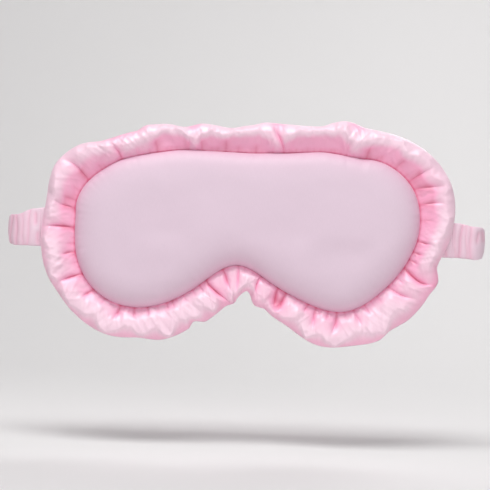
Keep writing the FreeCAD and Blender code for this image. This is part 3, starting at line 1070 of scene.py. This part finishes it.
def slip_stitches():
    """Short hand stitches, each a little thread that bows out of the cloth."""
    strands = []
    rng = np.random.default_rng(12)
    for lump in islands("closing_stitches"):
        middle = lump.mean(axis=0)
        way = np.linalg.svd(lump - middle)[2][0]
        half = (lump - middle) @ way
        t = np.linspace(-1, 1, 9)
        bow = np.array([0, 0.0, 1.0]) * rng.uniform(0.10, 0.22) * MM
        tilt = np.array([0, rng.uniform(-0.25, 0.25) * MM, 0])
        strands.append([middle + way * half.max() * k + bow * (1 - k * k) + tilt * k for k in t])
    thread_piece("closing_stitches_thread", "closing_stitches", strands, 0.22 * MM, sides=8)


slip_stitches()


def bar_tack(side_name):
    """A dense zigzag of thread across the strap's end, inside the seam."""
    low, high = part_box("bar_tack_" + side_name)
    turns = 22
    strand = []
    for k in range(turns * 4 + 1):
        phase = k / 4 * math.pi
        x = (low.x + high.x) / 2 + 0.42 * (high.x - low.x) * math.sin(phase)
        z = low.z + (high.z - low.z) * (0.03 + 0.94 * k / (turns * 4))
        y = (low.y + high.y) / 2 + 0.08 * MM * math.cos(2 * phase)
        strand.append((x, y, z))
    thread_piece("bar_tack_stitches_" + side_name, "bar_tack_" + side_name, [strand], 0.14 * MM)


for side_name in ("left", "right"):
    bar_tack(side_name)


# ---------------------------------------------------------------- the strap

strap_half = (end_high.y - end_low.y) / 2
strap_front_y = (end_high.y + end_low.y) / 2
strap_rear_y = rear_high.y - strap_half
strap_tip_x = side_high.x - strap_half
strap_start_x = end_low.x
turn_radius = 8 * MM
turn_x = strap_tip_x - turn_radius
turn_y = strap_front_y + turn_radius
rear_drop = strap_rear_y - turn_y
rear_radius = (turn_x ** 2 + rear_drop ** 2 - turn_radius ** 2) / (2 * (rear_drop - turn_radius))
rear_angle = math.pi / 2 - math.asin(turn_x / (rear_radius - turn_radius))
leg_length = turn_x - strap_start_x
quarter = turn_radius * math.pi / 2
turn_rest = turn_radius * rear_angle
rear_length = rear_radius * (math.pi / 2 - rear_angle)
tip_run = leg_length + quarter
full_run = tip_run + turn_rest + rear_length


def strap_line(run):
    """Place and outward normal, seen from above, at a distance along the right half of the strap."""
    run = np.asarray(run, float)
    turning = np.clip((run - leg_length) / turn_radius - math.pi / 2, -math.pi / 2, rear_angle)
    rest = np.clip(run - tip_run - turn_rest, 0, None)
    back = rear_angle + rest / rear_radius
    x = np.where(run < leg_length, strap_start_x + run, turn_x + turn_radius * np.cos(turning))
    y = np.where(run < leg_length, strap_front_y, turn_y + turn_radius * np.sin(turning))
    x = np.where(rest > 0, rear_radius * np.cos(back), x)
    y = np.where(rest > 0, strap_rear_y - rear_radius + rear_radius * np.sin(back), y)
    angle = np.where(rest > 0, back, turning)
    return x, y, np.cos(angle), np.sin(angle)


def strap_profile(run, side):
    """Half height and middle height of the strap at a distance along it."""
    # Heights in mm at the sewn end, before the turn and in it. The two sides differ in the photo.
    root, neck, wrist, neck_middle = (24.5, 21.6, 18.2, -1.5) if side < 0 else (20.8, 20.2, 19.2, -2.0)
    # Distance along the strap, height and middle height.
    shape = [
        (0, root, -0.1), (14 * MM, root, -0.3), (leg_length - 6 * MM, neck, neck_middle),
        (tip_run - 9 * MM, wrist, -3.2), (tip_run - 5 * MM, wrist - 0.8, -3.0),
        (tip_run - 2 * MM, 15.6, -2.2), (tip_run, 12.6, -1.5),
        (tip_run + 2 * MM, 15.4, -2.2), (tip_run + 6 * MM, 17.0, -3.2),
        (tip_run + 20 * MM, 17.4, -3.4), (full_run - 40 * MM, 19.0, -3.4), (full_run, 19.0, -3.4),
    ]
    places = np.array([p[0] for p in shape])
    heights = np.array([p[1] for p in shape]) * MM
    middles = np.array([p[2] for p in shape]) * MM
    low, t = between(places, np.asarray(run, float))
    t = ease(np.clip(t, 0, 1))
    return (heights[low] * (1 - t) + heights[low + 1] * t) / 2, middles[low] * (1 - t) + middles[low + 1] * t


def ruching(side):
    """Gathers along half of the strap: (place, tilt, wobble phase, depth, low end, high end)."""
    rng = np.random.default_rng(41 if side > 0 else 43)
    made = []
    run = 0.8 * MM
    while run < full_run + 4 * MM:
        short = rng.uniform() < 0.35
        centre = rng.uniform(-0.7, 0.7)
        made.append((run, rng.uniform(-1.1, 1.1) * MM, rng.uniform(0, 6.3), rng.uniform(0.55, 1.0),
                     centre - 0.5 if short else -1.4, centre + 0.5 if short else 1.4))
        run += rng.uniform(1.9, 4.3) * MM
    made.append((full_run, 0.0, 0.0, 1.0, -1.4, 1.4))
    return made


def ruched_tube(name, side, first, last):
    """A stretch of the casing: a flattened tube with irregular gathers across it."""
    ring_gap = 0.42 * MM
    ring_points = 56
    pressed = 1.0 * MM      # half the casing's thickness inside the side seam
    count = int((last - first) / ring_gap) + 1
    run = np.linspace(first, last, count)
    x, y, nx, ny = strap_line(run)
    half, middle = strap_profile(run, side)
    gathers = ruching(side)
    lines = []
    painted_shades = []
    for k in range(ring_points):
        turn = 2 * math.pi * (k / ring_points)
        across = -math.cos(turn)
        across = math.copysign(abs(across) ** 0.85, across)
        face = math.sin(turn)
        flat_side = abs(face) ** 0.5 * (1 if face >= 0 else -1)
        depth = np.zeros(count)
        for place, tilt, phase, strength, low, high in gathers:
            line = place + tilt * across + 0.35 * MM * math.sin(3.1 * across + phase)
            ends = smooth_step(across, low, low + 0.3) * (1 - smooth_step(across, high - 0.3, high))
            level = strength * ends
            if level > 0:
                cut = level * np.exp(-np.sqrt((run - line) ** 2 + (0.10 * MM) ** 2) / (1.05 * MM))
                depth = depth + cut * (1 - 0.4 * depth)
        depth = np.clip(depth, 0, 1)
        slack = 1 + 0.12 * np.sin(run / (9 * MM) + 2.2 * across + side)
        thickness = (0.95 + 1.15 * (1 - depth) ** 0.8 * slack) * MM
        # Beside the ruffle the casing's front is thinner, to stay clear of it.
        room = np.where((x < 118 * MM) & (face >= 0) & (run < leg_length), 1.30 * MM, 2.15 * MM)
        # Inside the side seam the casing is pressed flat between the layers.
        room = pressed + (room - pressed) * smooth_step(x, 98 * MM, 102 * MM)
        thickness = np.minimum(thickness, room)
        edge_in = 1 - 0.045 * depth
        z = middle + across * half * edge_in
        out = thickness * flat_side
        lines.append(np.stack([side * (x + nx * out), y + ny * out, z], axis=1))
        # Painted shade, darker in the gathers.
        painted_shades.append(np.clip(depth * 0.7, 0, 1))
    points = np.stack(lines, axis=1)
    if side < 0:
        points = points[:, ::-1]
        painted_shades = painted_shades[::-1]
    girth = np.arange(ring_points + 1) * (4.4 * half.mean() / ring_points)
    uv = np.stack(np.meshgrid(run * 1.6 / MM, girth / MM, indexing="ij"), axis=2)
    return grid_piece(name, points, uv, wrap_v=True, attributes={"painted_shade": np.stack(painted_shades, axis=1).ravel()})


def flat_elastic(name, side, first, last):
    """A stretch of the woven elastic, a flat band with rounded edges, inside the casing."""
    ring_gap = 1.2 * MM
    casing_room = 1.1 * MM
    thick = 0.52 * MM
    sides = 20
    run = np.linspace(first, last, int((last - first) / ring_gap) + 1)
    x, y, nx, ny = strap_line(run)
    half, middle = strap_profile(run, side)
    tall = np.minimum((elastic_high.z - elastic_low.z) / 2, half - casing_room)
    lines = []
    for k in range(sides):
        turn = 2 * math.pi * k / sides
        across = -math.copysign(abs(math.cos(turn)) ** 0.5, math.cos(turn))
        out = thick * math.copysign(abs(math.sin(turn)) ** 0.5, math.sin(turn)) if k % (sides // 2) else 0.0
        lines.append(np.stack([side * (x + nx * out), y + ny * out, middle + across * tall], axis=1))
    points = np.stack(lines, axis=1)
    if side < 0:
        points = points[:, ::-1]
    girth = np.arange(sides + 1) * 2.0
    uv = np.stack(np.meshgrid(run / MM, girth, indexing="ij"), axis=2)
    return grid_piece(name, points, uv, wrap_v=True)


for side_name, side in (("left", -1), ("right", 1)):
    parts = (
        ("strap_casing", ruched_tube, strap_satin, "strap_satin"),
        ("strap_elastic", flat_elastic, elastic_weave, "elastic"),
    )
    for part, maker, material, slot in parts:
        front_leg = maker(f"{part}_{side_name}_front", side, 0, tip_run)
        dress(front_leg, material)
        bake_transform(front_leg)
        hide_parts(f"{part}_{side_name}_end")
        back_run = maker(f"{part}_{side_name}_back", side, tip_run, full_run)
        dress(back_run, material)
        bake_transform(back_run)
        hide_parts(f"{part}_{side_name}_side", f"{part}_rear")


# ---------------------------------------------------------------- stage, light and camera

def backdrop():
    """A pale floor that curves up into a pale wall behind the mask and another behind the camera."""
    floor = -0.125
    bend = 0.5
    quarter_turn = np.linspace(0, math.pi / 2, 24)
    rear = [(0.45 + bend * math.sin(a), floor + bend * (1 - math.cos(a))) for a in quarter_turn]
    front_curve = [(-2.1 - y, z) for y, z in rear[::-1]]
    profile = [(-3.05, 2.4)] + front_curve + rear + [(0.95, 2.4)]
    points = np.array([[(x, y, z) for (y, z) in profile] for x in np.linspace(-3, 3, 9)])
    uv = np.array([[(x, k) for k in range(len(profile))] for x in np.linspace(0, 8, 9)], float)
    sweep = grid_piece("backdrop", points, uv)
    material = bpy.data.materials.new("backdrop")
    material.use_nodes = True
    shader = material.node_tree.nodes["Principled BSDF"]
    shader.inputs["Base Color"].default_value = (0.80, 0.79, 0.79, 1)
    shader.inputs["Roughness"].default_value = 0.9
    sweep.data.materials.append(material)


def soft_light(name, place, size, power):
    """A wide white lamp that looks at the mask and is not seen itself."""
    lamp = bpy.data.lights.new(name, "AREA")
    lamp.shape = "RECTANGLE"
    lamp.size, lamp.size_y = size
    lamp.energy = power
    holder = bpy.data.objects.new(name, lamp)
    holder.location = place
    holder.visible_camera = False
    holder.rotation_euler = (-Vector(place)).to_track_quat("-Z", "Y").to_euler()
    bpy.context.scene.collection.objects.link(holder)


backdrop()
soft_light("key", (-0.12, -0.50, 1.05), (0.8, 0.45), 10.8)
soft_light("front_fill", (0.28, -2.75, 0.5), (1.7, 1.3), 22.4)
soft_light("rear_fill", (0.45, 0.80, 0.80), (0.7, 0.4), 4.5)

world = bpy.data.worlds.new("studio")
world.use_nodes = True
world.node_tree.nodes["Background"].inputs["Color"].default_value = (1.0, 0.98, 0.99, 1)
world.node_tree.nodes["Background"].inputs["Strength"].default_value = 0.15
bpy.context.scene.world = world
bpy.context.scene.view_settings.view_transform = "Standard"

lens = bpy.data.cameras.new("camera")
lens.lens = 102.3
lens.sensor_width = 36
camera = bpy.data.objects.new("camera", lens)
camera.location = (-0.6 * MM, -0.8, -8.1 * MM)
camera.rotation_euler = (math.pi / 2, -math.radians(1.75), 0)
bpy.context.scene.collection.objects.link(camera)
bpy.context.scene.camera = camera
